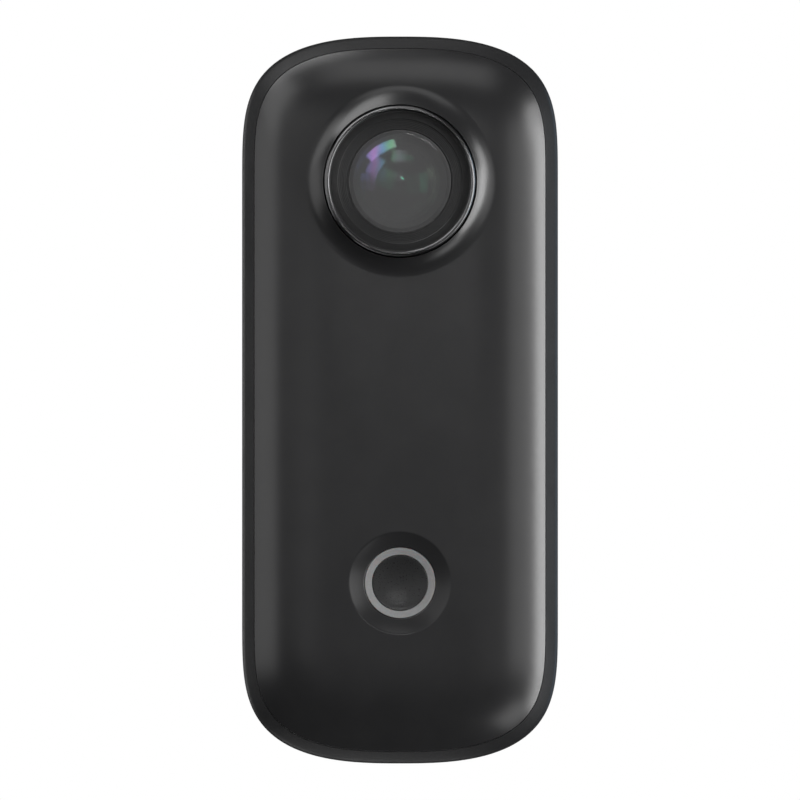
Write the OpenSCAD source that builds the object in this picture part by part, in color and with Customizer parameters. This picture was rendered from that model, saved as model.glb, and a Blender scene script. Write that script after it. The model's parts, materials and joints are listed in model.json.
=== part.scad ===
// Thumb-sized action camera, built as the shells, boards, lens stack and keys that it comes apart into.
// Each piece is drawn in local axes: x to the right, y up the body, z forward from the back face.
// upright() then stands the camera up: +X right, +Z up, and the lens looks along -Y.
// The origin is the middle of the flat magnetic back face.

/* [Body] */
// Height, from bottom end to top end
body_h = 61; // [60:0.5:62]
// Width across the straight sides
body_w = 26.5; // [26:0.1:27]
// Height of each curved end
end_depth = 12.5; // [12:0.1:13]
// Thickness of the frame wall
wall = 1.12; // [1.05:0.01:1.15]
// Height above the back face where the back cover meets the frame
back_joint_z = 3.4; // [3.3:0.05:3.5]
// Height above the back face of the frame's front edge
frame_front_z = 14.6; // [14.5:0.05:14.7]

/* [Front panel] */
// How far the crowned front panel rises from its rim to its middle
crown_rise = 1.7; // [1.4:0.05:1.8]
// Distance in from the rim over which the panel curves
crown_reach = 8.8; // [8:0.1:9]
// Sharpness of the panel's curve towards its rim
crown_power = 3.2; // [2.4:0.1:3.4]
// Thickness of the front panel
panel_t = 1.2; // [1.1:0.05:1.3]

/* [Lens] */
// Height of the lens axis above the body's middle
lens_y = 18.28; // [18.1:0.02:18.4]
// Outer radius of the lens bezel
bezel_r = 6.3; // [6.2:0.02:6.35]
// Radius of the cover glass
glass_r = 4.3; // [4.2:0.02:4.4]
// Height of the bezel's lip, the frontmost point of the camera
bezel_front_z = 18; // [17.8:0.05:18.2]
// How far the flared collar spreads around the bezel
flare_reach = 3.2; // [3:0.05:3.5]

/* [Shutter button] */
// Height of the button's axis, below the body's middle
shutter_y = -15.3; // [-15.4:0.05:-15.2]
// Radius of the finger dish
dish_r = 4.28; // [4.1:0.02:4.4]
// Depth of the finger dish
dish_depth = 0.75; // [0.6:0.05:0.8]
// Outer radius of the light ring
ring_outer_r = 2.95; // [2.9:0.01:3]
// Inner radius of the light ring
ring_inner_r = 2.35; // [2.3:0.01:2.4]
// How far the button travels
shutter_travel = 0.3; // [0.2:0.05:0.3]

/* [Side button] */
// Height of the side button's middle
side_y = 2; // [1:0.5:3]
// Length of the side button
side_len = 9; // [8:0.5:10]
// Half the width of the side button
side_r = 1.6; // [1.5:0.05:1.7]

/* [Port door] */
// Half the width of the port door
door_half_w = 6.2; // [6:0.1:6.4]
// Thickness of the door
door_t = 1.2; // [1.15:0.01:1.25]
// Height above the back face of the hinge axis
hinge_z = 5.5; // [5.4:0.05:5.6]
// Height above the back face of the door's free edge
door_front_z = 11.7; // [11.6:0.05:11.75]
// Radius of the hinge pin
pin_r = 0.3; // [0.25:0.01:0.35]

/* [Battery] */
// Width of the battery
battery_w = 19.6; // [18:0.2:19.8]
// Height of the battery's lower end, below the body's middle
battery_low_y = -21.5; // [-21.5:0.1:-20]
// Height of the battery's upper end
battery_high_y = 10.5; // [9:0.1:10.6]
// Thickness of the battery
battery_t = 3.4; // [3:0.1:3.5]

/* [Hidden] */
$fn = 64;
half_w = body_w / 2;
half_h = body_h / 2;
straight_y = half_h - end_depth;
side_power = 2.7;
end_power = 3.9;
quarter_steps = 22;
loop_count = 4 * quarter_steps + 2;
through = 0.5;
fit_gap = 0.05;

// Back cover, pad and magnets
pad_inset = 2.8;
pad_t = 0.8;
back_edge_z = 0.15;
back_inner_z = 1.5;
rim_inset = 1.9;
lip_h = 0.8;
magnet_r = 4.5;
magnet_t = 1.2;
keeper_t = 0.3;
foam_t = 0.2;
magnet_y = 11;
battery_z = back_inner_z + magnet_t + keeper_t + foam_t;

// Case screws and the posts that they hold
post_x = 8.2;
post_y = 23.6;
post_r = 1.5;
post_z = 3;
post_top_z = frame_front_z + 0.5;
boss_r = 1.9;
case_head_r = 1.25;
case_shank_r = 0.58;
case_head_z = 1.6;
case_head_h = 0.75;
case_screw_l = 7;
socket_r = 0.5;
post_bore_r = case_shank_r + 0.02;
boss_bore_r = 0.65;

// Front panel
rim_gap = 0.04;
panel_inset = wall + rim_gap;
panel_low_z = frame_front_z - 1;
rim_round = 0.08;
crown_edge_z = frame_front_z + 0.05;
panel_z = crown_edge_z + crown_rise;
skirt_inset = panel_inset + 1.14;
flange_z = panel_low_z - 0.9;
flange_t = 0.5;

// Lens
lens_groove = 0.1;
bezel_seat_z = 15.2;
flare_top_z = panel_z + 0.6;
flare_low_z = panel_z - 1.15;
tower_low_z = panel_z - 1.95;
barrel_r = 4.57;
barrel_head_r = 5.2;
barrel_z = 7.5;
barrel_front_z = 15.5;
holder_half = 6;
holder_low_z = 4.9;
holder_top_z = 9.8;
sensor_board_t = 0.8;
glass_z = 16.45;
glass_t = 0.9;
glass_seal_t = 0.25;
tower_bore_r = 5.5;
ledge_r = 3.9;
ledge_z = 15.75;
barrel_step_z = 12.5;
front_r = 4.07;
front_low_z = 13.7;
front_top_z = 15.4;
middle_r = 3.17;
middle_low_z = 11.2;
middle_top_z = 12.7;
rear_r = 2.57;
rear_low_z = 8.4;
rear_top_z = 10.2;
element_gap = 0.03;
front_spacer_t = 0.4;
middle_spacer_t = 0.7;
filter_z = 7;
filter_half = 3.2;
sensor_top_z = 5.6;

// Boards
board_t = 0.8;
board_z = 8;
board_top_z = board_z + board_t;
board_half_w = 10.5;
board_high_y = 11.4;
board_step_y = -21;
board_low_y = -27.3;
tongue_half_w = 6.3;
board_screw_x = 9.4;
board_screw_ys = [-18.6, 9.2];
board_screw_r = 0.34;
lug_x = 8.7;
lug_l = 3.8;
lug_half_w = 1.3;
chip_t = 1;
can_top_z = 10.6;
can_t = 0.2;

// Shutter button
dish_ball_r = (dish_r * dish_r + dish_depth * dish_depth) / (2 * dish_depth);
dish_ball_z = panel_z - dish_depth + dish_ball_r;
guide_r = ring_outer_r + fit_gap;
guide_low_z = panel_z - 2.55;
guide_outer_r = 4.4;
key_flange_z = guide_low_z - 0.9;
key_flange_t = 0.4;
key_flange_r = 3.6;
stem_r = 1.2;
stem_low_z = 10.75;
switch_top_z = 10.2;
plunger_r = 0.7;
plunger_top_z = 10.7;
plunger_low_z = 9.6;

// Side button
side_z = 8.4;
side_face_x = half_w - 0.05;
side_flange_x = 11.2;
side_flange_t = 0.55;
side_flange_r = side_r + 0.5;
side_seal_x = 11.8;
side_axis_z = 9.4;
side_switch_x = 8.6;
side_switch_face_x = 10.3;
side_plunger_x = 10.9;

// Port door, sockets and card
door_gap = 0.1;
hinge_y = -half_h + door_t;
pin_half_l = 7;
knuckle_bore_r = pin_r + 0.03;
port_floor_y = hinge_y + door_gap;
block_half_w = 8;
block_y = -27.5;
block_low_z = 3.6;
plug_half_w = 3.5;
plug_low_z = 9.3;
plug_high_z = 10.9;
plug_h = 0.8;
card_half_w = 5.5;
card_l = 15;
card_t = 0.7;
card_z = 7.05;
card_low_y = -27;
socket_half_w = 5.9;
socket_z = 6.8;
socket_mouth_y = -26.4;
usb_half_w = 3.75;
usb_h = 2.5;
usb_mouth_y = -27.4;
usb_back_y = -22;

// Sound holes and status window
sound_hole_r = 0.4;
speaker_y = 16.3;
speaker_z = 8.6;
speaker_holes = 5;
speaker_pitch = 1.5;
speaker_back_x = -9.4;
speaker_face_x = -11.8;
mesh_t = 0.2;
mic_x = 3;
mic_z = 6.5;
window_y = 10.8;
window_z = 9.2;
window_r = 0.6;

// ---- Shared shapes ----

// One corner point of the outline, from the side (0 degrees) to the end (90 degrees)
function corner(inset, angle) = [
    (half_w - inset) * pow(cos(angle), 2 / side_power),
    straight_y + (end_depth - inset) * pow(sin(angle), 2 / end_power)
];

// The body's outline: straight sides and blunt superellipse ends, drawn in by an inset
function outline(inset) = let (
    quarter = [for (k = [0:quarter_steps]) corner(inset, 90 * k / quarter_steps)],
    back = [for (k = [quarter_steps - 1:-1:0]) quarter[k]]
) concat(
    quarter,
    [for (p = back) [-p[0], p[1]]],
    [for (p = quarter) [-p[0], -p[1]]],
    [for (p = back) [p[0], -p[1]]]
);

// Height of the front panel at an inset from the outline
function crown_z(inset) = let (left = max(0, 1 - (inset - panel_inset) / crown_reach))
    crown_edge_z + crown_rise * (1 - pow(left, crown_power));

module upright() {
    rotate([90, 0, 0]) children();
}

module at_z(z) {
    translate([0, 0, z]) children();
}

// A straight-walled slab of the body's outline
module slab(inset, low_z, high_z) {
    at_z(low_z) linear_extrude(high_z - low_z) polygon(outline(inset));
}

module ring_slab(outer_inset, inner_inset, low_z, high_z) {
    difference() {
        slab(outer_inset, low_z, high_z);
        slab(inner_inset, low_z - through, high_z + through);
    }
}

// A solid through the body's outline at each [height, inset]
module loft(sections) {
    rows = len(sections);
    points = [for (s = sections) for (p = outline(s[1])) [p[0], p[1], s[0]]];
    walls = [for (r = [0:rows - 2]) for (i = [0:loop_count - 1]) for (half = [0, 1])
        let (j = (i + 1) % loop_count, low = r * loop_count, high = low + loop_count)
            half == 0 ? [low + i, high + i, high + j] : [low + i, high + j, low + j]];
    bottom = [for (i = [0:loop_count - 1]) i];
    top = [for (i = [loop_count - 1:-1:0]) (rows - 1) * loop_count + i];
    polyhedron(points = points, faces = concat([bottom, top], walls));
}

module box(low, high) {
    translate(low) cube(high - low);
}

// A washer along z
module tube(outer_r, inner_r, low_z, high_z) {
    at_z(low_z) difference() {
        cylinder(r = outer_r, h = high_z - low_z);
        at_z(-through) cylinder(r = inner_r, h = high_z - low_z + 2 * through);
    }
}

// A bar with round ends, lying along y and running out along +x
module oval(r, length, low_x, high_x) {
    half = length / 2 - r;
    for (s = [-1, 1]) {
        translate([low_x, side_y + s * half, side_z]) rotate([0, 90, 0]) cylinder(r = r, h = high_x - low_x);
    }
    box([low_x, side_y - half, side_z - r], [high_x, side_y + half, side_z + r]);
}

module at_posts() {
    for (x = [-post_x, post_x]) for (y = [-post_y, post_y]) translate([x, y, 0]) children();
}

module at_board_screws() {
    for (x = [-board_screw_x, board_screw_x]) for (y = board_screw_ys) translate([x, y, 0]) children();
}

module at_lens() {
    translate([0, lens_y, 0]) children();
}

module at_shutter() {
    translate([0, shutter_y, 0]) children();
}

module dish_ball() {
    at_z(dish_ball_z) sphere(r = dish_ball_r, $fn = 160);
}

// A round rod along x
module x_rod(r, low_x, high_x, y, z) {
    translate([low_x, y, z]) rotate([0, 90, 0]) cylinder(r = r, h = high_x - low_x);
}

// ---- Case ----

module frame_body() {
    difference() {
        loft([
            [back_joint_z, 0.06], [back_joint_z + 0.1, 0], [frame_front_z - 1, 0],
            [frame_front_z - 0.78, 0.08], [frame_front_z - 0.62, 0.33], [frame_front_z, 1.06]
        ]);
        slab(wall, 0, frame_front_z + through);
    }
    // Ledge that the front gasket sits on
    ring_slab(0.6, skirt_inset, flange_z, flange_z + flange_t);
    // Lugs that the main board is screwed to
    for (s = [-1, 1]) for (y = board_screw_ys) {
        low_x = min(s * lug_x, s * (lug_x + lug_l));
        box([low_x, y - lug_half_w, socket_z], [low_x + lug_l, y + lug_half_w, board_z]);
    }
    // Block around the port, inside the bottom wall
    intersection() {
        slab(0.5, block_low_z, flange_z + 0.1);
        box([-block_half_w, -half_h, block_low_z], [block_half_w, block_y, flange_z + 0.1]);
    }
}

module port_recess() {
    reach = door_half_w + door_gap;
    box([-reach, -half_h - through, hinge_z - door_t - door_gap], [reach, hinge_y, door_front_z + door_gap]);
    box([-reach, -half_h - through, hinge_z], [reach, port_floor_y, door_front_z + door_gap]);
    x_rod(door_t + door_gap, -reach, reach, hinge_y, hinge_z);
    // Card slot and cable opening
    box([-socket_half_w, -half_h, card_z - 0.1], [socket_half_w, block_y + through, card_z + card_t + 0.15]);
    box(
        [-usb_half_w - 0.2, -half_h, board_top_z],
        [usb_half_w + 0.2, block_y + through, board_top_z + 2.55]);
}

module mid_frame() {
    color("dimgray") upright() difference() {
        frame_body();
        port_recess();
        x_rod(pin_r, -pin_half_l, pin_half_l, hinge_y, hinge_z);
        at_board_screws() at_z(socket_z - through) cylinder(r = board_screw_r + 0.01, h = 3);
        oval(side_r + fit_gap, side_len + 2 * fit_gap, half_w - 3, half_w + through);
        for (k = [0:speaker_holes - 1]) {
            y = speaker_y + (k - (speaker_holes - 1) / 2) * speaker_pitch;
            x_rod(sound_hole_r, -half_w - through, -half_w + 3, y, speaker_z);
        }
        translate([mic_x, half_h + through, mic_z]) rotate([90, 0, 0]) cylinder(r = sound_hole_r, h = 3);
        x_rod(window_r, half_w - 3, half_w + through, window_y, window_z);
    }
}

// Concave collar that rises from the panel to the lens bezel
module lens_tower() {
    top_r = bezel_r + lens_groove;
    steps = 8;
    flare = [for (k = [0:steps]) let (a = 90 * k / steps) [
        top_r + flare_reach * (1 - cos(a)),
        flare_top_z - (flare_top_z - flare_low_z) * sin(a)
    ]];
    outer_r = top_r + flare_reach;
    foot = [[outer_r, tower_low_z], [0, tower_low_z]];
    rotate_extrude($fn = 128) polygon(concat([[0, flare_top_z]], flare, foot));
}

module front_cover() {
    crown_steps = 8;
    crown = [for (k = [1:crown_steps]) let (inset = panel_inset + rim_round
        + (crown_reach - rim_round) * pow(k / crown_steps, 1.5)) [crown_z(inset), inset]];
    ceiling = [for (inset = [4, 6.5, panel_inset + crown_reach]) [crown_z(inset) - panel_t, inset]];
    color([0.12, 0.12, 0.13]) upright() difference() {
        union() {
            difference() {
                loft(concat([[panel_low_z, panel_inset], [crown_edge_z - 0.1, panel_inset],
                    [crown_edge_z, panel_inset + rim_round]], crown));
                loft(concat(
                    [[panel_low_z - through, skirt_inset], [panel_low_z + 0.35, skirt_inset]],
                    ceiling));
            }
            at_lens() lens_tower();
            at_shutter() at_z(guide_low_z) cylinder(r = guide_outer_r, h = panel_z - guide_low_z - 0.9);
            at_posts() at_z(post_z) cylinder(r = post_r, h = post_top_z - post_z);
        }
        at_lens() at_z(tower_low_z - through) cylinder(r = tower_bore_r, h = 5);
        at_lens() at_z(bezel_seat_z) cylinder(r = bezel_r + lens_groove, h = 5);
        at_shutter() dish_ball();
        at_shutter() at_z(guide_low_z - through) cylinder(r = guide_r, h = 5);
        at_posts() at_z(post_z - through) cylinder(r = post_bore_r, h = 6.5);
    }
}

module back_cover() {
    color([0.16, 0.16, 0.17]) upright() difference() {
        union() {
            difference() {
                union() {
                    loft([
                        [back_edge_z, 2.4], [0.35, 1.5], [0.9, 0.75], [1.7, 0.25], [2.5, 0.04],
                        [back_joint_z - 0.1, 0], [back_joint_z, 0.06]
                    ]);
                    slab(wall + rim_gap, back_joint_z - 0.1, back_joint_z + lip_h);
                }
                slab(rim_inset, back_inner_z, back_joint_z + 2);
            }
            at_posts() at_z(back_inner_z - 0.1) cylinder(r = boss_r, h = post_z - back_inner_z + 0.1);
        }
        slab(pad_inset - fit_gap, -through, pad_t);
        ring_slab(0.45, 0.85, back_joint_z - 0.25, back_joint_z + through);
        // The lip stops either side of the port block
        box(
            [-block_half_w - 0.2, -half_h, back_joint_z],
            [block_half_w + 0.2, block_y + 0.1, back_joint_z + 2]);
        at_posts() at_z(0) cylinder(r = case_head_r + fit_gap, h = case_head_z);
        at_posts() at_z(0) cylinder(r = boss_bore_r, h = post_z + through);
    }
}

module front_gasket() {
    color("darkslategray") upright() ring_slab(1.3, 2.2, flange_z + flange_t, panel_low_z);
}

module rear_gasket() {
    color("darkslategray") upright() ring_slab(0.47, 0.83, back_joint_z - 0.25, back_joint_z);
}

module case_screws() {
    color("silver") upright() at_posts() {
        difference() {
            at_z(case_head_z - case_head_h) cylinder(r = case_head_r, h = case_head_h);
            at_z(case_head_z - case_head_h) cylinder(r = socket_r, h = 0.4, $fn = 6);
        }
        at_z(case_head_z) cylinder(r = case_shank_r, h = case_screw_l);
    }
}

module magnet_pad() {
    color([0.2, 0.2, 0.21]) upright() slab(pad_inset, 0, pad_t);
}

module back_magnets() {
    color("silver") upright() for (y = [-magnet_y, magnet_y]) {
        translate([0, y, back_inner_z]) cylinder(r = magnet_r, h = magnet_t);
    }
}

module keeper_plate() {
    keeper_z = back_inner_z + magnet_t;
    color("gray") upright() box([-6, -18, keeper_z], [6, 18, keeper_z + keeper_t]);
}

// ---- Lens ----

module lens_bezel() {
    front = bezel_front_z;
    lip_in = bezel_r - 0.42;
    inner = glass_r + 0.03;
    foot_r = tower_bore_r + 0.1;
    color([0.25, 0.25, 0.26]) upright() at_lens() rotate_extrude($fn = 128) polygon([
        [foot_r, bezel_seat_z], [bezel_r, bezel_seat_z], [bezel_r, front - 0.2],
        [bezel_r - 0.06, front - 0.06], [bezel_r - 0.2, front],
        [lip_in + 0.08, front - 0.06], [lip_in, front - 0.2], [lip_in, front - 0.55],
        [inner, front - 0.7], [inner, glass_z - glass_seal_t], [ledge_r, glass_z - glass_seal_t],
        [ledge_r, ledge_z], [foot_r, ledge_z]
    ]);
}

module cover_glass() {
    color([0.1, 0.16, 0.18]) upright() at_lens() at_z(glass_z) cylinder(r = glass_r, h = glass_t);
}

module glass_seal() {
    color("black") upright() at_lens() tube(glass_r, ledge_r + fit_gap, glass_z - glass_seal_t, glass_z);
}

module lens_barrel() {
    color([0.15, 0.15, 0.15]) upright() at_lens() difference() {
        union() {
            at_z(barrel_z) cylinder(r = barrel_r, h = 6);
            at_z(barrel_step_z) cylinder(r = barrel_head_r, h = barrel_front_z - barrel_step_z);
        }
        at_z(barrel_z - through) cylinder(r = rear_r - 0.37, h = 10);
        at_z(rear_low_z) cylinder(r = rear_r + element_gap, h = 10);
        at_z(middle_low_z - middle_spacer_t) cylinder(r = middle_r + element_gap, h = 10);
        at_z(front_low_z - front_spacer_t) cylinder(r = front_r + element_gap, h = 10);
    }
}

// A lens with a domed front, its edge running back to a flat rear face
module domed_disc(r, low_z, high_z, dome_r) {
    intersection() {
        at_z(low_z) cylinder(r = r, h = high_z - low_z);
        at_z(high_z - dome_r) sphere(r = dome_r);
    }
}

module front_element() {
    color([0.3, 0.45, 0.5]) upright() at_lens() domed_disc(front_r, front_low_z, front_top_z, 7);
}

module middle_element() {
    color([0.35, 0.5, 0.5]) upright() at_lens() domed_disc(middle_r, middle_low_z, middle_top_z, 6);
}

module rear_element() {
    color([0.35, 0.5, 0.45]) upright() at_lens() domed_disc(rear_r, rear_low_z, rear_top_z, 5);
}

module element_spacers() {
    color([0.1, 0.1, 0.1]) upright() at_lens() {
        tube(front_r, middle_r + element_gap, front_low_z - front_spacer_t, front_low_z);
        tube(middle_r, rear_r - 0.07, middle_low_z - middle_spacer_t, middle_low_z);
    }
}

module lens_holder() {
    color([0.18, 0.18, 0.18]) upright() at_lens() difference() {
        box([-holder_half, -holder_half, holder_low_z], [holder_half, holder_half, holder_top_z]);
        box([-4.2, -4.2, holder_low_z - through], [4.2, 4.2, 6.6]);
        box([-2.8, -2.8, holder_low_z], [2.8, 2.8, 8]);
        at_z(filter_z) cylinder(r = barrel_r + element_gap, h = 5);
    }
}

module ir_filter() {
    color([0.5, 0.75, 0.7]) upright() at_lens() box(
        [-filter_half, -filter_half, filter_z], [filter_half, filter_half, filter_z + 0.3]);
}

module image_sensor() {
    color([0.2, 0.3, 0.35]) upright() at_lens() box(
        [-3.7, -3.1, holder_low_z], [3.7, 3.1, sensor_top_z]);
}

module sensor_board() {
    color("darkgreen") upright() box([-6.4, 11.7, holder_low_z - sensor_board_t], [6.4, 27.2, holder_low_z]);
}

module sensor_flex() {
    color("darkorange") upright() {
        box([-3, 10.9, 4.4], [3, 11.7, 4.55]);
        box([-3, 10.9, 4.4], [3, 11.05, 7.2]);
        box([-3, 9.4, 7.05], [3, 11.05, 7.2]);
        box([-3, 9.4, 7.2], [3, 10.8, board_z]);
    }
}

// ---- Boards ----

module main_board() {
    color("darkgreen") upright() difference() {
        union() {
            box([-board_half_w, board_step_y, board_z], [board_half_w, board_high_y, board_top_z]);
            box([-tongue_half_w, board_low_y, board_z], [tongue_half_w, board_step_y + 0.1, board_top_z]);
        }
        at_board_screws() at_z(board_z - through) cylinder(r = 0.5, h = 2);
    }
}

module processor() {
    color([0.08, 0.08, 0.08]) upright() box([-7, -2, board_top_z], [4, 9, board_top_z + chip_t]);
}

module memory_chip() {
    color([0.08, 0.08, 0.08]) upright() box([-5.5, -9, board_top_z], [2.5, -3, board_top_z + 0.9]);
}

module shield_can() {
    color("silver") upright() difference() {
        box([-8.2, -10, board_top_z], [8.2, 10.2, can_top_z]);
        box(
            [-8.2 + can_t, -10 + can_t, board_top_z - through],
            [8.2 - can_t, 10.2 - can_t, can_top_z - can_t]);
    }
}

module heat_pad() {
    color("lightskyblue") upright() box([-6.5, -1.5, board_top_z + chip_t], [3.5, 8.5, can_top_z - can_t]);
}

module power_chips() {
    color([0.15, 0.15, 0.15]) upright() {
        for (x = [-6.5, -1.5]) box([x, -4, 7.1], [x + 3, -1, board_z]);
        box([3.5, -4.5, 7], [7.5, -0.5, board_z]);
        box([-6, 2.5, 7.3], [-2, 5.5, board_z]);
    }
}

module board_screws() {
    color("silver") upright() at_board_screws() {
        at_z(board_top_z) cylinder(r = 0.9, h = 0.5);
        at_z(socket_z + 0.1) cylinder(r = board_screw_r, h = board_top_z - socket_z);
    }
}

module card_socket() {
    inner = card_half_w + 0.1;
    color("lightgray") upright() difference() {
        box([-socket_half_w, socket_mouth_y, socket_z], [socket_half_w, -11, board_z]);
        box([-inner, socket_mouth_y - through, card_z - 0.1], [inner, -11.4, card_z + card_t + 0.1]);
    }
}

module usb_socket() {
    color("silver") upright() difference() {
        box([-usb_half_w, usb_mouth_y, board_top_z], [usb_half_w, usb_back_y, board_top_z + usb_h]);
        difference() {
            box([-usb_half_w + 0.3, usb_mouth_y - through, board_top_z + 0.3],
                [usb_half_w - 0.3, usb_back_y - 1, board_top_z + usb_h - 0.3]);
            box([-2.2, usb_mouth_y + 0.6, board_top_z + 1.2], [2.2, usb_back_y, board_top_z + 1.8]);
        }
    }
}

// ---- Battery ----

module battery_cell() {
    color([0.75, 0.76, 0.78]) upright() box(
        [-battery_w / 2, battery_low_y, battery_z], [battery_w / 2, battery_high_y, battery_z + battery_t]);
}

module battery_board() {
    color("darkgreen") upright() box([-6.5, battery_low_y - 1, 3.4], [6.5, battery_low_y, 6.2]);
}

module battery_leads() {
    color("red") upright() for (s = [-1, 1]) {
        translate([s * 6.2, battery_low_y - 0.4, 6.2]) cylinder(r = 0.25, h = board_z - 6.2);
    }
}

module battery_foam() {
    color("black") upright() box([-9, -20, battery_z - foam_t], [9, 9.5, battery_z]);
}

// ---- Switches, seals and lamps ----

module shutter_switch() {
    color("silver") upright() at_shutter() difference() {
        box([-2, -2, board_top_z], [2, 2, switch_top_z]);
        at_z(plunger_low_z - shutter_travel - 0.1) cylinder(r = plunger_r + fit_gap, h = 3);
    }
}

module shutter_plunger() {
    color("white") upright() at_shutter() at_z(plunger_low_z)
        cylinder(r = plunger_r, h = plunger_top_z - plunger_low_z);
}

module shutter_seal() {
    low_z = key_flange_z + key_flange_t + 0.02;
    color("black") upright() at_shutter() tube(key_flange_r + 0.3, guide_r, low_z, guide_low_z);
}

module ring_leds() {
    color("white") upright() at_shutter() for (a = [45:90:315]) {
        rotate([0, 0, a]) box([2.9, -0.4, board_top_z], [3.7, 0.4, board_top_z + 0.6]);
    }
}

module side_switch() {
    color("silver") upright() difference() {
        box([side_switch_x, side_y - 1.8, board_top_z], [side_switch_face_x, side_y + 1.8, 10.2]);
        x_rod(0.5 + fit_gap, side_switch_face_x - 1, side_switch_face_x + through, side_y, side_axis_z);
    }
}

module side_plunger() {
    color("white") upright() x_rod(0.5, side_switch_face_x - 0.6, side_plunger_x, side_y, side_axis_z);
}

module side_seal() {
    color("black") upright() difference() {
        oval(side_flange_r, side_len + 1, side_seal_x, half_w - wall - 0.02);
        oval(side_r + fit_gap, side_len + 2 * fit_gap, side_seal_x - through, half_w);
    }
}

module status_led() {
    color("white") upright() box([9.5, 10.4, board_top_z], [10.3, 11.2, board_top_z + 0.6]);
}

module status_window() {
    color("whitesmoke") upright() x_rod(window_r, 11.4, half_w - 0.02, window_y, window_z);
}

// ---- Sound and radio ----

module microphone() {
    color("gold") upright() box([mic_x - 1.5, 25, holder_low_z], [mic_x + 1.5, 27, holder_low_z + 1]);
}

module mic_mesh() {
    color("gray") upright() translate([mic_x, 29.1, mic_z]) rotate([90, 0, 0])
        cylinder(r = 2 * sound_hole_r, h = mesh_t);
}

module speaker() {
    color([0.2, 0.2, 0.22]) upright() box(
        [speaker_face_x, speaker_y - 4.5, speaker_z - 2.4],
        [speaker_back_x, speaker_y + 4.5, speaker_z + 2.4]);
}

module speaker_mesh() {
    color("gray") upright() box(
        [speaker_face_x - mesh_t, speaker_y - 4, speaker_z - 1.5],
        [speaker_face_x, speaker_y + 4, speaker_z + 1.5]);
}

module wifi_antenna() {
    color("goldenrod") upright() box([-12, -12, 5.2], [-11.85, 4, 10.4]);
}

// ---- Keys ----

module light_ring() {
    tube_low_z = key_flange_z + key_flange_t;
    color("whitesmoke") upright() at_shutter() difference() {
        union() {
            at_z(key_flange_z) cylinder(r = key_flange_r, h = key_flange_t);
            at_z(tube_low_z - 0.1) cylinder(r = ring_outer_r, h = 3);
        }
        at_z(key_flange_z - through) cylinder(r = ring_inner_r, h = 5);
        dish_ball();
    }
}

module shutter_button() {
    color([0.15, 0.15, 0.16]) upright() at_shutter() difference() {
        union() {
            at_z(key_flange_z) cylinder(r = ring_inner_r, h = 3.1);
            at_z(stem_low_z) cylinder(r = stem_r, h = key_flange_z - stem_low_z + 0.1);
        }
        dish_ball();
    }
}

module side_button() {
    color([0.12, 0.12, 0.13]) upright() {
        oval(side_r, side_len, side_flange_x + 0.1, side_face_x);
        oval(side_flange_r, side_len + 1, side_flange_x, side_flange_x + side_flange_t);
        x_rod(0.6, side_plunger_x + 0.05, side_flange_x + 0.1, side_y, side_axis_z);
    }
}

// ---- Port door and card ----

module port_door() {
    color([0.13, 0.13, 0.14]) upright() difference() {
        union() {
            intersection() {
                slab(0.05, hinge_z - door_t - through, door_front_z);
                union() {
                    box([-door_half_w, -half_h - through, hinge_z], [door_half_w, hinge_y, door_front_z]);
                    x_rod(door_t, -door_half_w, door_half_w, hinge_y, hinge_z);
                }
            }
            box([-plug_half_w + 0.4, hinge_y - 0.1, plug_low_z + 0.3],
                [plug_half_w - 0.4, hinge_y + plug_h, plug_high_z - 0.3]);
        }
        x_rod(knuckle_bore_r, -door_half_w - through, door_half_w + through, hinge_y, hinge_z);
    }
}

module door_gasket() {
    color("black") upright() difference() {
        box([-plug_half_w, hinge_y, plug_low_z], [plug_half_w, hinge_y + plug_h - 0.2, plug_high_z]);
        box([-plug_half_w + 0.4, hinge_y - through, plug_low_z + 0.3],
            [plug_half_w - 0.4, hinge_y + through + plug_h, plug_high_z - 0.3]);
    }
}

module door_pin() {
    color("silver") upright() x_rod(pin_r, -pin_half_l, pin_half_l, hinge_y, hinge_z);
}

module memory_card() {
    color([0.1, 0.1, 0.1]) upright() {
        box([-card_half_w, card_low_y, card_z], [card_half_w, card_low_y + card_l, card_z + card_t]);
    }
}

mid_frame();
front_cover();
back_cover();
front_gasket();
rear_gasket();
case_screws();
magnet_pad();
back_magnets();
keeper_plate();
lens_bezel();
cover_glass();
glass_seal();
lens_barrel();
front_element();
middle_element();
rear_element();
element_spacers();
lens_holder();
ir_filter();
image_sensor();
sensor_board();
sensor_flex();
main_board();
processor();
memory_chip();
shield_can();
heat_pad();
power_chips();
board_screws();
card_socket();
usb_socket();
battery_cell();
battery_board();
battery_leads();
battery_foam();
shutter_switch();
shutter_seal();
ring_leds();
side_switch();
side_seal();
microphone();
mic_mesh();
speaker();
speaker_mesh();
wifi_antenna();
status_led();
status_window();
door_pin();
shutter_button();
light_ring();
shutter_plunger();
side_button();
side_plunger();
port_door();
door_gasket();
memory_card();
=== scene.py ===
"""Looks for the thumb-sized action camera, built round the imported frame.

Shapes are worked out in the camera's own axes, in millimetres: x to the right, y up the body and
z forward from the back face. place() turns them into the shared frame, in metres, lens along -Y.
"""

import json
import math

import bpy
import numpy as np
from mathutils import Matrix, Vector
from mathutils.geometry import delaunay_2d_cdt

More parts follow.
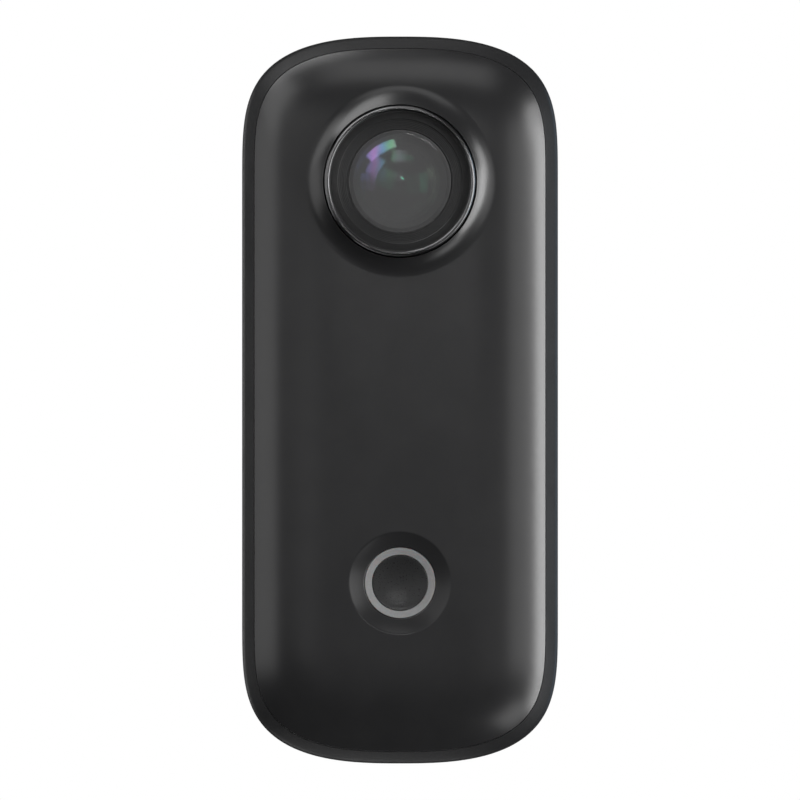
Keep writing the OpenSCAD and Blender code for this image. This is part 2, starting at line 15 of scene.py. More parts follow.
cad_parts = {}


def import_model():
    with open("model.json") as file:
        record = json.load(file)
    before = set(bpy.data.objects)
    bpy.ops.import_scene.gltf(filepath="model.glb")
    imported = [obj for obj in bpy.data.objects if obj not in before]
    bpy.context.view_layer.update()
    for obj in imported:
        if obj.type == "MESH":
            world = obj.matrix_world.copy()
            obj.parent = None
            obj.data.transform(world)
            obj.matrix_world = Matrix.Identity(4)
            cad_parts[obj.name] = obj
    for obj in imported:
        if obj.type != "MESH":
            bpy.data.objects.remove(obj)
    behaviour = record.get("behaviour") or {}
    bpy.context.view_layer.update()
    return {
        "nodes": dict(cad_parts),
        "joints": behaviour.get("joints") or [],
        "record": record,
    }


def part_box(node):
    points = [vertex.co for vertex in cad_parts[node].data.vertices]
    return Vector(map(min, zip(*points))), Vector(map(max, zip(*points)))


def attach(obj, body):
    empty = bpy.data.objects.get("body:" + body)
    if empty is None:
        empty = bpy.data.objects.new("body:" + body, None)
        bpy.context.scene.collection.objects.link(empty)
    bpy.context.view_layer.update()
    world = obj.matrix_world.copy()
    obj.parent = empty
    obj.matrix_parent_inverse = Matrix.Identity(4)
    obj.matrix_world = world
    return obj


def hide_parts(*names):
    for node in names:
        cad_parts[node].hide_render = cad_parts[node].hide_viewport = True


MM = 0.001
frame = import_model()


# ---- Measures taken from the frame ----


def local_box(node):
    """A CAD node's lowest and highest corner in the camera's own axes, in millimetres."""
    low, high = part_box(node)
    return (
        Vector((low[0], low[2], -high[1])) / MM,
        Vector((high[0], high[2], -low[1])) / MM,
    )


def joint(name):
    return next(j for j in frame["joints"] if j["name"] == name)


FRAME_LOW, FRAME_HIGH = local_box("mid_frame")
BACK_LOW, BACK_HIGH = local_box("back_cover")
PAD_HIGH = local_box("magnet_pad")[1]
BEZEL_LOW, BEZEL_HIGH = local_box("lens_bezel")
GLASS_LOW, GLASS_HIGH = local_box("cover_glass")
CAP_LOW, CAP_HIGH = local_box("shutter_button")
RING_LOW, RING_HIGH = local_box("light_ring")
SIDE_LOW, SIDE_HIGH = local_box("side_button")
DOOR_LOW, DOOR_HIGH = local_box("port_door")
GASKET_LOW, GASKET_HIGH = local_box("door_gasket")
SPEAKER_LOW, SPEAKER_HIGH = local_box("speaker")
MIC_LOW, MIC_HIGH = local_box("mic_mesh")
WINDOW_LOW, WINDOW_HIGH = local_box("status_window")
CARD_LOW, CARD_HIGH = local_box("memory_card")
USB_LOW, USB_HIGH = local_box("usb_socket")
SCREWS_HIGH = local_box("case_screws")[1]

HALF_W = FRAME_HIGH.x
HALF_H = FRAME_HIGH.y
END_DEPTH = 12.5
STRAIGHT_Y = HALF_H - END_DEPTH
SIDE_POWER, END_POWER = 2.7, 3.9
WALL = 1.12
# The visible panel laps over the wall by a hair, so that its crown runs right to the frame's edge
PANEL_LAP, SKIRT_T = 0.06, 1.18
PANEL_INSET = WALL - PANEL_LAP
SKIRT_INSET = WALL + SKIRT_T
FRAME_FRONT = FRAME_HIGH.z
BACK_JOINT = FRAME_LOW.z
PANEL_LOW = FRAME_FRONT - 1.0
FLANGE_LOW, FLANGE_T = PANEL_LOW - 0.9, 0.5
CROWN_EDGE = FRAME_FRONT + 0.05
CROWN_RISE, CROWN_REACH, CROWN_POWER = 1.7, 8.8, 3.2
PANEL_Z = CROWN_EDGE + CROWN_RISE
PANEL_T = 1.2
BODY_MID_Z = PANEL_Z / 2
LENS_Y = (BEZEL_LOW.y + BEZEL_HIGH.y) / 2
BEZEL_R = (BEZEL_HIGH.x - BEZEL_LOW.x) / 2
GLASS_R = GLASS_HIGH.x
COLLAR_R = BEZEL_R + 0.1
TOWER_BORE_R, TOWER_LOW = 5.5, PANEL_Z - 1.95
SHUTTER_Y = (CAP_LOW.y + CAP_HIGH.y) / 2
CAP_R = CAP_HIGH.x
RING_R = CAP_R + 0.6
DISH_R, DISH_DEPTH = 4.28, 0.75
DISH_BALL = (DISH_R**2 + DISH_DEPTH**2) / (2 * DISH_DEPTH)
DISH_BALL_Z = PANEL_Z - DISH_DEPTH + DISH_BALL
GUIDE_R, GUIDE_LOW = RING_R + 0.05, PANEL_Z - 2.55
HINGE_Y = joint("door_hinge")["pos_m"][2] / MM
HINGE_Z = -joint("door_hinge")["pos_m"][1] / MM
DOOR_T = HALF_H + HINGE_Y
DOOR_GAP = 0.1
SCREW_HEAD_R = 1.25
POST_X, POST_Y = SCREWS_HIGH.x - SCREW_HEAD_R, SCREWS_HIGH.y - SCREW_HEAD_R
POSTS = [(x, y) for x in (-POST_X, POST_X) for y in (-POST_Y, POST_Y)]
POST_R, POST_BORE_R, POST_FOOT_Z, POST_TOP_Z = 1.5, 0.6, 3.0, FRAME_FRONT + 0.3
# The middle of a closed outline is filled by a flat cap inside this inset
CAP_INSET, CAP_INNER_INSET = 8, 11.9
# The side button's flange stands out this far all round behind the wall
KEY_FLANGE = 0.5
SIDE_MID_Y, SIDE_MID_Z = (SIDE_LOW.y + SIDE_HIGH.y) / 2, (SIDE_LOW.z + SIDE_HIGH.z) / 2
SIDE_R = (SIDE_HIGH.z - SIDE_LOW.z) / 2 - KEY_FLANGE
SIDE_HALF = (SIDE_HIGH.y - SIDE_LOW.y) / 2 - KEY_FLANGE - SIDE_R
SHARP_ANGLE = 32


# ---- Meshes ----


def place(points):
    """Camera axes in millimetres to the shared frame in metres."""
    p = np.asarray(points, dtype=float)
    return np.stack([p[:, 0], -p[:, 2], p[:, 1]], axis=1) * MM


def full_turn(count):
    return np.linspace(0, 2 * math.pi, count, endpoint=False)


def shade_smooth(made, sharp=SHARP_ANGLE):
    """Smooth shading that keeps edges sharper than an angle in degrees."""
    made.polygons.foreach_set("use_smooth", [True] * len(made.polygons))
    made.set_sharp_from_angle(angle=math.radians(sharp))


class Net:
    """A mesh in the making: points in camera axes, and faces that run anticlockwise seen from outside."""

    def __init__(self):
        self.points = []
        self.faces = []

    def add(self, points):
        first = len(self.points)
        self.points.extend([float(c) for c in p] for p in points)
        return list(range(first, len(self.points)))

    def band(self, a, b):
        for i in range(len(a)):
            j = (i + 1) % len(a)
            self.faces.append([a[i], a[j], b[j], b[i]])

    def cap(self, loop, flip=False):
        self.faces.append(list(reversed(loop)) if flip else list(loop))

    def fan(self, loop, centre):
        (middle,) = self.add([centre])
        for i, p in enumerate(loop):
            self.faces.append([p, loop[(i + 1) % len(loop)], middle])

    def sweep(self, loops, closed=False):
        """Bands between loops of points, in order. Returns the loops' indices."""
        rings = [self.add(loop) for loop in loops]
        for a, b in zip(rings, rings[1:]):
            self.band(a, b)
        if closed:
            self.band(rings[-1], rings[0])
        return rings

    def object(self, name, sharp=SHARP_ANGLE):
        made = bpy.data.meshes.new(name)
        made.from_pydata([tuple(p) for p in place(self.points)], [], self.faces)
        made.validate()
        shade_smooth(made, sharp)
        obj = bpy.data.objects.new(name, made)
        bpy.context.scene.collection.objects.link(obj)
        return obj


def fillet(corners, steps=4):
    """A line of (u, z, radius) corners, each rounded to its radius. A closed line repeats no corner."""
    out = []
    count = len(corners)
    for i, (u, z, radius) in enumerate(corners):
        p = np.array([u, z])
        if radius == 0:
            out.append((u, z))
            continue
        before = np.array(corners[i - 1][:2]) - p
        after = np.array(corners[(i + 1) % count][:2]) - p
        before, after = before / np.linalg.norm(before), after / np.linalg.norm(after)
        half = math.acos(max(-1, min(1, float(before @ after)))) / 2
        reach = radius / math.tan(half)
        centre = p + (before + after) / np.linalg.norm(before + after) * radius / math.sin(half)
        start, end = p + before * reach - centre, p + after * reach - centre
        turn = math.atan2(start[0] * end[1] - start[1] * end[0], float(start @ end))
        for k in range(steps + 1):
            a = turn * k / steps
            c, s = math.cos(a), math.sin(a)
            out.append((centre[0] + c * start[0] - s * start[1], centre[1] + s * start[0] + c * start[1]))
    return out


QUARTER, SIDE_STEPS = 56, 36


def quarter_fractions():
    """Angles that space one corner of the outline evenly along its length."""
    angle = np.linspace(0, math.pi / 2, 4001)
    x = HALF_W * np.cos(angle) ** (2 / SIDE_POWER)
    y = END_DEPTH * np.sin(angle) ** (2 / END_POWER)
    length = np.concatenate([[0], np.cumsum(np.hypot(np.diff(x), np.diff(y)))])
    return np.interp(np.linspace(0, length[-1], QUARTER + 1), length, angle)


CORNER_ANGLES = quarter_fractions()


def outline(inset, z=None):
    """The body's outline drawn in by an inset, anticlockwise from the right side."""
    x = (HALF_W - inset) * np.abs(np.cos(CORNER_ANGLES)) ** (2 / SIDE_POWER)
    y = STRAIGHT_Y + (END_DEPTH - inset) * np.sin(CORNER_ANGLES) ** (2 / END_POWER)
    x[-1] = 0
    side = np.linspace(-STRAIGHT_Y, STRAIGHT_Y, SIDE_STEPS + 1)[1:-1]
    right = np.stack([np.full_like(side, HALF_W - inset), side], axis=1)
    top_right = np.stack([x, y], axis=1)
    top_left = top_right[-2::-1] * [-1, 1]
    upper = np.concatenate([top_right, top_left])
    lower = upper * [-1, -1]
    loop = np.concatenate([upper, right * [-1, -1], lower, right])
    return loop if z is None else [(p[0], p[1], z) for p in loop]


def circle(radius, count, centre_y, z=None):
    a = full_turn(count)
    loop = np.stack([radius * np.cos(a), centre_y + radius * np.sin(a)], axis=1)
    return loop if z is None else [(p[0], p[1], z) for p in loop]


def inset_of(x, y):
    """How far in from the outline a point lies, by halving the interval."""
    beyond = np.maximum(np.abs(y) - STRAIGHT_Y, 0)
    low, high = np.zeros_like(x), np.full_like(x, END_DEPTH - 1e-6)
    for _ in range(46):
        mid = (low + high) / 2
        inside = (np.abs(x) / (HALF_W - mid)) ** SIDE_POWER + (beyond / (END_DEPTH - mid)) ** END_POWER < 1
        low, high = np.where(inside, mid, low), np.where(inside, high, mid)
    return (low + high) / 2


def crown_z(inset):
    left = np.maximum(0, 1 - (inset - PANEL_INSET) / CROWN_REACH)
    return CROWN_EDGE + CROWN_RISE * (1 - left**CROWN_POWER)


def soft_min(a, b, width):
    h = np.maximum(width - np.abs(a - b), 0) / width
    return np.minimum(a, b) - h * h * width / 4


# The collar flares out from a small rounded lip, and its foot blends into the crown
LIP_ARC = 0.05
LIP_TILT = math.radians(35)
LIP_R = COLLAR_R + LIP_ARC * (1 + math.sin(LIP_TILT))
LIP_Z = PANEL_Z + 0.52
FLARE_W = 1.6
FOOT_R = LIP_R + FLARE_W + 0.25


def dish_z(r):
    return DISH_BALL_Z - np.sqrt(DISH_BALL**2 - r**2)


def panel_height(x, y):
    """The front panel's surface: crown, collar round the lens, and finger dish."""
    x, y = np.asarray(x, float), np.asarray(y, float)
    z = crown_z(inset_of(x, y))
    r = np.hypot(x, y - LENS_Y)
    z = z + (LIP_Z - z) * np.clip(1 - (r - LIP_R) / FLARE_W, 0, 1) ** 2
    dish = dish_z(np.clip(np.hypot(x, y - SHUTTER_Y), 0, DISH_R + 1))
    return np.where(r > DISH_R * 3, soft_min(z, dish, 0.03), z)


def panel_normals(points):
    x, y = points[:, 0], points[:, 1]
    step = 0.002
    dx = (panel_height(x + step, y) - panel_height(x - step, y)) / (2 * step)
    dy = (panel_height(x, y + step) - panel_height(x, y - step)) / (2 * step)
    n = np.stack([-dx, -dy, np.ones_like(dx)], axis=1)
    return n / np.linalg.norm(n, axis=1)[:, None]


def triangulate(net, loops, holes, inner, height):
    """Fills the region inside the loop of points, outside the holes, with triangles over a height."""
    known = np.array([net.points[i][:2] for loop in loops for i in loop])
    extra = np.array(inner)
    points = [Vector(p) for p in np.concatenate([known, extra])]
    edges, first = [], 0
    for loop in loops:
        edges += [(first + i, first + (i + 1) % len(loop)) for i in range(len(loop))]
        first += len(loop)
    verts, _, faces, origin, _, _ = delaunay_2d_cdt(points, edges, [], 1, 1e-7)
    ids = [i for loop in loops for i in loop]
    heights = height(extra[:, 0], extra[:, 1])
    ids += net.add([(p[0], p[1], z) for p, z in zip(extra, heights)])
    ids = [ids[o[0]] if o else None for o in origin]
    flat = np.array([tuple(v) for v in verts])
    for face in faces:
        middle = flat[list(face)].mean(axis=0)
        if any(math.hypot(middle[0], middle[1] - cy) < r for r, cy in holes):
            continue
        if len({ids[i] for i in face}) == 3:
            net.faces.append([ids[i] for i in face])


def inner_points(insets, holes, margin):
    """Points on nested outlines, clear of round holes."""
    found = np.concatenate([outline(i) for i in insets])
    found = np.unique(np.round(found, 5), axis=0)
    clear = np.ones(len(found), bool)
    for r, cy in holes:
        clear &= np.hypot(found[:, 0], found[:, 1] - cy) > r + margin
    return found[clear]


def merged(obj, others, operation):
    """Joins or cuts solids with the exact boolean, and leaves one plain mesh."""
    for other in others:
        step = obj.modifiers.new(operation, "BOOLEAN")
        step.operation = operation
        step.solver = "EXACT"
        step.object = other
    bpy.context.view_layer.update()
    made = bpy.data.meshes.new_from_object(obj.evaluated_get(bpy.context.evaluated_depsgraph_get()))
    obj.modifiers.clear()
    old, obj.data = obj.data, made
    bpy.data.meshes.remove(old)
    for other in others:
        bpy.data.objects.remove(other)
    shade_smooth(made)
    return obj


def column(loops, name="tool"):
    """A solid through loops of points, capped at both ends."""
    net = Net()
    rings = net.sweep(loops)
    net.cap(rings[0], flip=True)
    net.cap(rings[-1])
    return net.object(name)


def box_solid(low, high):
    x0, y0, z0 = low
    x1, y1, z1 = high
    return column([[(x0, y0, z), (x1, y0, z), (x1, y1, z), (x0, y1, z)] for z in (z0, z1)])


def x_rod(stations, y, z, count=48):
    """A round solid along x, through (x, radius) stations."""
    return column([[(x, y + r * math.cos(a), z + r * math.sin(a)) for a in full_turn(count)]
                   for x, r in stations])


def y_rod(stations, x, z, count=48):
    return column([[(x + r * math.sin(a), y, z + r * math.cos(a)) for a in full_turn(count)]
                   for y, r in stations])


def z_rod(stations, x, y, count):
    return column([[(x + r * math.cos(a), y + r * math.sin(a), z) for a in full_turn(count)]
                   for z, r in stations])



def stadium(radius, x, count=24):
    """A round-ended loop on the right wall, round the side button's middle."""
    y0, y1 = SIDE_MID_Y - SIDE_HALF, SIDE_MID_Y + SIDE_HALF
    ends = []
    for y, start in ((y1, -math.pi / 2), (y0, math.pi / 2)):
        for k in range(count + 1):
            a = start + math.pi * k / count
            ends.append((x, y + radius * math.cos(a), SIDE_MID_Z + radius * math.sin(a)))
    return ends



def finished(obj, body, slot, *nodes, material=None, weighted=True):
    """Rides a piece on its body, gives it the material of its slot unless another is given, and hides what
    it stands for.
    """
    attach(obj, body)
    if nodes:
        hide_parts(*nodes)
    obj.data.materials.clear()
    obj.data.materials.append(material or MATERIALS[slot])
    if weighted:
        step = obj.modifiers.new("weighted_normals", "WEIGHTED_NORMAL")
        step.keep_sharp = True
    return obj


# ---- Materials ----


class Paint:
    """A material's node tree, with short ways to add what repeats."""

    def __init__(self, name):
        self.mat = bpy.data.materials.new(name)
        self.mat.use_nodes = True
        self.tree = self.mat.node_tree
        self.shader = self.tree.nodes["Principled BSDF"]
        self.coords = self.tree.nodes.new("ShaderNodeTexCoord").outputs["Object"]

    def node(self, kind, **inputs):
        made = self.tree.nodes.new(kind)
        for key, value in inputs.items():
            self.put(made.inputs[key.replace("_", " ")], value)
        return made

    def put(self, socket, value):
        if isinstance(value, bpy.types.NodeSocket):
            self.tree.links.new(value, socket)
        else:
            socket.default_value = value

    def set(self, **inputs):
        for key, value in inputs.items():
            self.put(self.shader.inputs[key.replace("_", " ")], value)
        return self

    def stretched(self, scale):
        """Object coordinates with a different scale along each axis."""
        made = self.node("ShaderNodeMapping", Vector=self.coords)
        made.inputs["Scale"].default_value = scale
        return made.outputs["Vector"]

    def noise(self, scale, detail=2.0, roughness=0.5, vector=None):
        made = self.node("ShaderNodeTexNoise", Vector=vector or self.coords, Scale=scale, Detail=detail,
                         Roughness=roughness)
        return made.outputs["Fac"]

    def cells(self, scale, feature="F1"):
        made = self.node("ShaderNodeTexVoronoi", Vector=self.coords, Scale=scale)
        made.feature = feature
        return made.outputs["Distance"]

    def ramp(self, factor, low, high, start=0.3, end=0.7):
        """A value between two numbers or two colours, as the factor goes from start to end."""
        if isinstance(low, (int, float)):
            made = self.node("ShaderNodeMapRange", Value=factor)
            made.inputs["From Min"].default_value = start
            made.inputs["From Max"].default_value = end
            made.inputs["To Min"].default_value = low
            made.inputs["To Max"].default_value = high
            return made.outputs["Result"]
        made = self.node("ShaderNodeValToRGB", Fac=factor)
        for element, place_at, colour in zip(made.color_ramp.elements, (start, end), (low, high)):
            element.position = place_at
            element.color = (*colour, 1)
        return made.outputs["Color"]

    def math(self, operation, a, b=0.0):
        made = self.tree.nodes.new("ShaderNodeMath")
        made.operation = operation
        self.put(made.inputs[0], a)
        self.put(made.inputs[1], b)
        return made.outputs[0]

    def bump(self, height, depth):
        """Bump of a height pattern from 0 to 1, with its depth in metres."""
        return self.node("ShaderNodeBump", Height=height, Distance=depth, Strength=1.0).outputs["Normal"]


def textured_plastic(name, dark, light, rough, grain, depth):
    """Moulded plastic with a fine spark-eroded grain and faint handling marks."""
    paint = Paint(name)
    fine = paint.noise(grain, detail=3, roughness=0.6)
    pits = paint.cells(grain * 0.55)
    wide = paint.noise(grain * 0.02, detail=4)
    grainy = paint.math("ADD", paint.math("MULTIPLY", fine, 0.65), paint.math("MULTIPLY", pits, 0.35))
    paint.set(
        Base_Color=paint.ramp(grainy, dark, light, 0.3, 0.75),
        Roughness=paint.ramp(wide, rough - 0.05, rough + 0.05),
        Specular_IOR_Level=0.22,
        Normal=paint.bump(grainy, depth),
    )
    return paint.mat


def panel_paint():
    """Satin-gloss lacquered plastic: an even black with the slightest waviness."""
    paint = Paint("panel_gloss")
    wide = paint.noise(260, detail=3)
    fine = paint.noise(9000, detail=2)
    paint.set(
        Base_Color=paint.ramp(wide, (0.0165, 0.0165, 0.0172), (0.0195, 0.0195, 0.0202)),
        Roughness=paint.ramp(fine, 0.23, 0.27),
        Normal=paint.bump(fine, 1.5e-7),
    )
    return paint.mat


def metal(name, colour, rough, grain, stretch):
    """Metal with a drawn or plated surface."""
    paint = Paint(name)
    lines = paint.noise(grain, detail=3, vector=paint.stretched(stretch))
    spots = paint.noise(grain * 0.05, detail=3)
    darker = tuple(c * 0.86 for c in colour)
    paint.set(
        Base_Color=paint.ramp(spots, darker, colour),
        Metallic=1.0,
        Roughness=paint.ramp(lines, rough - 0.06, rough + 0.08),
        Normal=paint.bump(lines, 1e-6),
    )
    return paint.mat


def rubber(name, colour, rough=0.75, grain=9000, depth=3e-6):
    paint = Paint(name)
    fine = paint.noise(grain, detail=4, roughness=0.65)
    darker = tuple(c * 0.75 for c in colour)
    paint.set(
        Base_Color=paint.ramp(fine, darker, colour),
        Roughness=paint.ramp(fine, rough - 0.08, rough + 0.08),
        Normal=paint.bump(fine, depth),
    )
    return paint.mat


def bezel_paint():
    """Black anodised aluminium, turned: rings too fine to model roughen it in circles."""
    paint = Paint("bezel_metal")
    shifted = paint.node("ShaderNodeMapping", Vector=paint.coords)
    shifted.inputs["Location"].default_value = (0, 0, -LENS_Y * MM)
    parts = paint.node("ShaderNodeSeparateXYZ", Vector=shifted.outputs["Vector"])
    across, up = (paint.math("POWER", parts.outputs[axis], 2) for axis in "XZ")
    radius = paint.math("SQRT", paint.math("ADD", across, up))
    pitch = 0.11 * MM
    rings = paint.math("SINE", paint.math("MULTIPLY", radius, 2 * math.pi / pitch))
    rings = paint.ramp(rings, 0.0, 1.0, -1, 1)
    spots = paint.noise(3000, detail=3)
    lip_r = (BEZEL_R - 0.45) * MM
    lip = paint.ramp(radius, 0.0, 1.0, lip_r, lip_r + 0.04 * MM)
    worn = paint.math("ADD", lip, paint.math("MULTIPLY", spots, 0.05))
    paint.set(
        Base_Color=paint.ramp(worn, (0.011, 0.011, 0.0113), (0.15, 0.15, 0.153), 0, 1),
        Specular_IOR_Level=0.3,
        Metallic=lip,
        Roughness=paint.math(
            "SUBTRACT", paint.ramp(rings, 0.4, 0.48, 0, 1), paint.math("MULTIPLY", lip, 0.2)
        ),
        Normal=paint.bump(rings, 1.2e-6),
    )
    return paint.mat


def board_paint():
    """Green solder mask over copper tracks and plated pads."""
    paint = Paint("board_green")
    tracks = paint.cells(900, feature="DISTANCE_TO_EDGE")
    pads = paint.cells(1500)
    mask = paint.ramp(tracks, (0.012, 0.14, 0.06), (0.006, 0.07, 0.032), 0.02, 0.06)
    gold = paint.math("LESS_THAN", pads, 0.12)
    mixed = paint.node("ShaderNodeMix")
    mixed.data_type = "RGBA"
    paint.put(mixed.inputs[0], gold)
    paint.put(mixed.inputs[6], mask)
    mixed.inputs[7].default_value = (0.75, 0.5, 0.16, 1)
    paint.set(
        Base_Color=mixed.outputs[2],
        Metallic=paint.math("MULTIPLY", gold, 0.9),
        Roughness=0.34,
        Normal=paint.bump(paint.ramp(tracks, 1.0, 0.0, 0.02, 0.06), 1.5e-5),
    )
    return paint.mat


def foil_paint():
    """Satin pouch foil, faintly wrinkled."""
    paint = Paint("battery_foil")
    wrinkle = paint.noise(700, detail=5, roughness=0.6)
    paint.set(
        Base_Color=paint.ramp(wrinkle, (0.5, 0.51, 0.53), (0.66, 0.67, 0.69)),
        Metallic=1.0,
        Roughness=paint.ramp(wrinkle, 0.28, 0.4),
        Normal=paint.bump(wrinkle, 2e-5),
    )
    return paint.mat


def plain(name, colour, rough, grain=4000, depth=1e-6, **more):
    """A moulded or printed part: an even colour with slight mottling."""
    paint = Paint(name)
    fine = paint.noise(grain, detail=3)
    darker = tuple(c * 0.88 for c in colour)
    paint.set(
        Base_Color=paint.ramp(fine, darker, colour),
        Roughness=paint.ramp(fine, rough - 0.04, rough + 0.05),
        Normal=paint.bump(fine, depth),
        **more,
    )
    return paint.mat


def window_paint():
    """Toughened cover glass. Its coating scatters a pale veil over what lies behind it."""
    paint = Paint("coated_glass")
    smear = paint.noise(400, detail=4)
    paint.set(
        Base_Color=paint.ramp(smear, (0.205, 0.205, 0.207), (0.215, 0.215, 0.217)),
        Roughness=paint.ramp(smear, 0.06, 0.09),
        Alpha=0.36,
        IOR=1.3,
    )
    return paint.mat


def glass(name, tint, clear, film=0.0, rough=0.02):
    """Coated optical glass; its thin film tints what it reflects."""
    paint = Paint(name)
    smear = paint.noise(500, detail=4)
    paint.set(
        Base_Color=paint.ramp(smear, tuple(c * 0.94 for c in tint), tint),
        Roughness=paint.ramp(smear, rough, rough + 0.02),
        Transmission_Weight=clear,
        IOR=1.52,
        Thin_Film_Thickness=film,
        Thin_Film_IOR=1.9,
    )
    return paint.mat


def coating_paint():
    """Anti-reflection coating: a faint mirror with a painted coloured reflection. Its hue is painted across
    it from left to right, and its strength grows towards the top.
    """
    paint = Paint("coating")
    parts = paint.node("ShaderNodeSeparateXYZ", Vector=paint.coords)
    smear = paint.noise(900, detail=3)
    x = paint.math("MULTIPLY", parts.outputs["X"], 1 / MM)
    y = paint.math("SUBTRACT", paint.math("MULTIPLY", parts.outputs["Z"], 1 / MM), LENS_Y)
    across = paint.math("ADD", x, paint.math("MULTIPLY", smear, 0.7))
    above = paint.math("ADD", y, smear)
    # Painted reflection: the hue runs across the film, blue and violet on the left, green near the middle,
    # dark on the right
    hue = paint.node("ShaderNodeValToRGB", Fac=paint.ramp(across, 0.0, 1.0, -3.3, 2.7))
    stops = hue.outputs["Color"].node.color_ramp.elements
    blue, violet, sky = (0.16, 0.18, 0.5), (0.4, 0.2, 0.55), (0.14, 0.3, 0.52)
    green, grey, dark = (0.16, 0.45, 0.24), (0.3, 0.34, 0.38), (0.03, 0.05, 0.035)
    for k, colour in enumerate((blue, violet, sky, green, grey, dark), 1):
        stop = stops.new(0.12 * k)
        stop.color = (*colour, 1)
    stops[0].color = (0.1, 0.1, 0.3, 1)
    stops[-1].color = (0.02, 0.03, 0.02, 1)
    # Painted reflection: the tint is scaled up towards the top of the film
    painted_reflection_tint = paint.node("ShaderNodeVectorMath")
    painted_reflection_tint.operation = "SCALE"
    paint.put(painted_reflection_tint.inputs[0], hue.outputs["Color"])
    paint.put(painted_reflection_tint.inputs["Scale"], paint.ramp(above, 0.12, 0.85, 0.3, 1.6))
    rough = paint.ramp(smear, 0.1, 0.16)
    paint.set(Base_Color=painted_reflection_tint.outputs[0], Metallic=1.0, Roughness=rough, Alpha=0.16)
    return paint.mat


def ring_paint():
    """Frosted translucent plastic of the light ring, unlit."""
    paint = Paint("ring_plastic")
    fine = paint.noise(6000, detail=3)
    paint.set(
        Base_Color=paint.ramp(fine, (0.21, 0.21, 0.212), (0.24, 0.24, 0.242)),
        Roughness=paint.ramp(fine, 0.5, 0.6),
        Subsurface_Weight=0.25,
        Subsurface_Scale=0.0004,
        Normal=paint.bump(fine, 1e-6),
    )
    return paint.mat


MATERIALS = {
    "frame_plastic": textured_plastic(
        "frame_plastic", (0.013, 0.013, 0.0135), (0.023, 0.023, 0.024), 0.42, 14000, 4e-6
    ),
    "panel_gloss": panel_paint(),
    "cover_plastic": textured_plastic(
        "cover_plastic", (0.016, 0.016, 0.017), (0.03, 0.03, 0.032), 0.48, 12000, 5e-6
    ),
    "door_rubber": textured_plastic(
        "door_rubber", (0.017, 0.017, 0.018), (0.028, 0.028, 0.03), 0.55, 13000, 4e-6
    ),
    "pad_rubber": rubber("pad_rubber", (0.03, 0.03, 0.031), 0.62, 7000, 4e-6),
    "seal_rubber": rubber("seal_rubber", (0.02, 0.02, 0.021)),
    "thermal_pad": rubber("thermal_pad", (0.3, 0.45, 0.6), 0.6),
    "lead_red": rubber("lead_red", (0.45, 0.03, 0.03), 0.5),
    "screw_steel": metal("screw_steel", (0.56, 0.56, 0.57), 0.3, 4000, (1, 1, 8)),
    "plated_metal": metal("plated_metal", (0.68, 0.68, 0.7), 0.25, 3000, (1, 6, 1)),
    "bezel_metal": bezel_paint(),
    "board_green": board_paint(),
    "battery_foil": foil_paint(),
    "lens_black": plain("lens_black", (0.012, 0.012, 0.013), 0.5, 9000, 2e-6),
    "chip_black": plain("chip_black", (0.03, 0.03, 0.032), 0.45, 8000, 2e-6),
    "sensor_die": plain("sensor_die", (0.1, 0.13, 0.2), 0.12, 9000, 2e-7, Thin_Film_Thickness=420.0),
    "flex_amber": plain("flex_amber", (0.42, 0.2, 0.04), 0.3, 2500),
    "led_white": plain("led_white", (0.72, 0.72, 0.68), 0.35, 3000),
    "button_black": plain("button_black", (0.017, 0.017, 0.0175), 0.3, 9000, 3e-7),
    "ring_plastic": ring_paint(),
    "coated_glass": window_paint(),
    "lens_glass": glass("lens_glass", (0.02, 0.02, 0.025), 0.3, 480.0, 0.03),
    "filter_glass": glass("filter_glass", (0.35, 0.62, 0.62), 0.5, 250.0, 0.05),
}


# ---- Front panel ----

LENS_STEPS, DISH_STEPS = 192, 160
# Rings of the finger dish and nested outlines of the crown, close together where the surface turns
DISH_RADII = [5.1, 4.9, 4.7, 4.55, 4.45, 4.38, 4.34, 4.31, 4.29, 4.27, 4.25, 4.22, 4.17, 4.1, 3.95,
              3.75, 3.5, 3.25, RING_R + 0.1]
CROWN_STEPS = [0.1, 0.22, 0.36, 0.54, 0.76, 1.02, 1.32, 1.66, 2.04, 2.45, 2.9, 3.4, 3.9, 4.45, 5,
               5.6, 6.2, 6.9, 7.6, 8.3, 9, 9.7, 10.4, 10.9]
TOWER_R, BOSS_R = 8.8, 4.3


def on_panel(radius, count, centre_y):
    """A circle laid on the front panel's surface."""
    loop = circle(radius, count, centre_y)
    return [(x, y, z) for (x, y), z in zip(loop, panel_height(loop[:, 0], loop[:, 1]))]


def panel_ceiling(x, y):
    """The panel's inner side, thickened round the lens and under the dish."""
    roof = crown_z(inset_of(x, y)) - PANEL_T
    lens = TOWER_LOW + np.clip(np.hypot(x, y - LENS_Y) - TOWER_R, 0, 1)
    boss = GUIDE_LOW + 8 * np.clip(np.hypot(x, y - SHUTTER_Y) - BOSS_R, 0, 0.25)
    return np.minimum(np.minimum(roof, lens), boss)


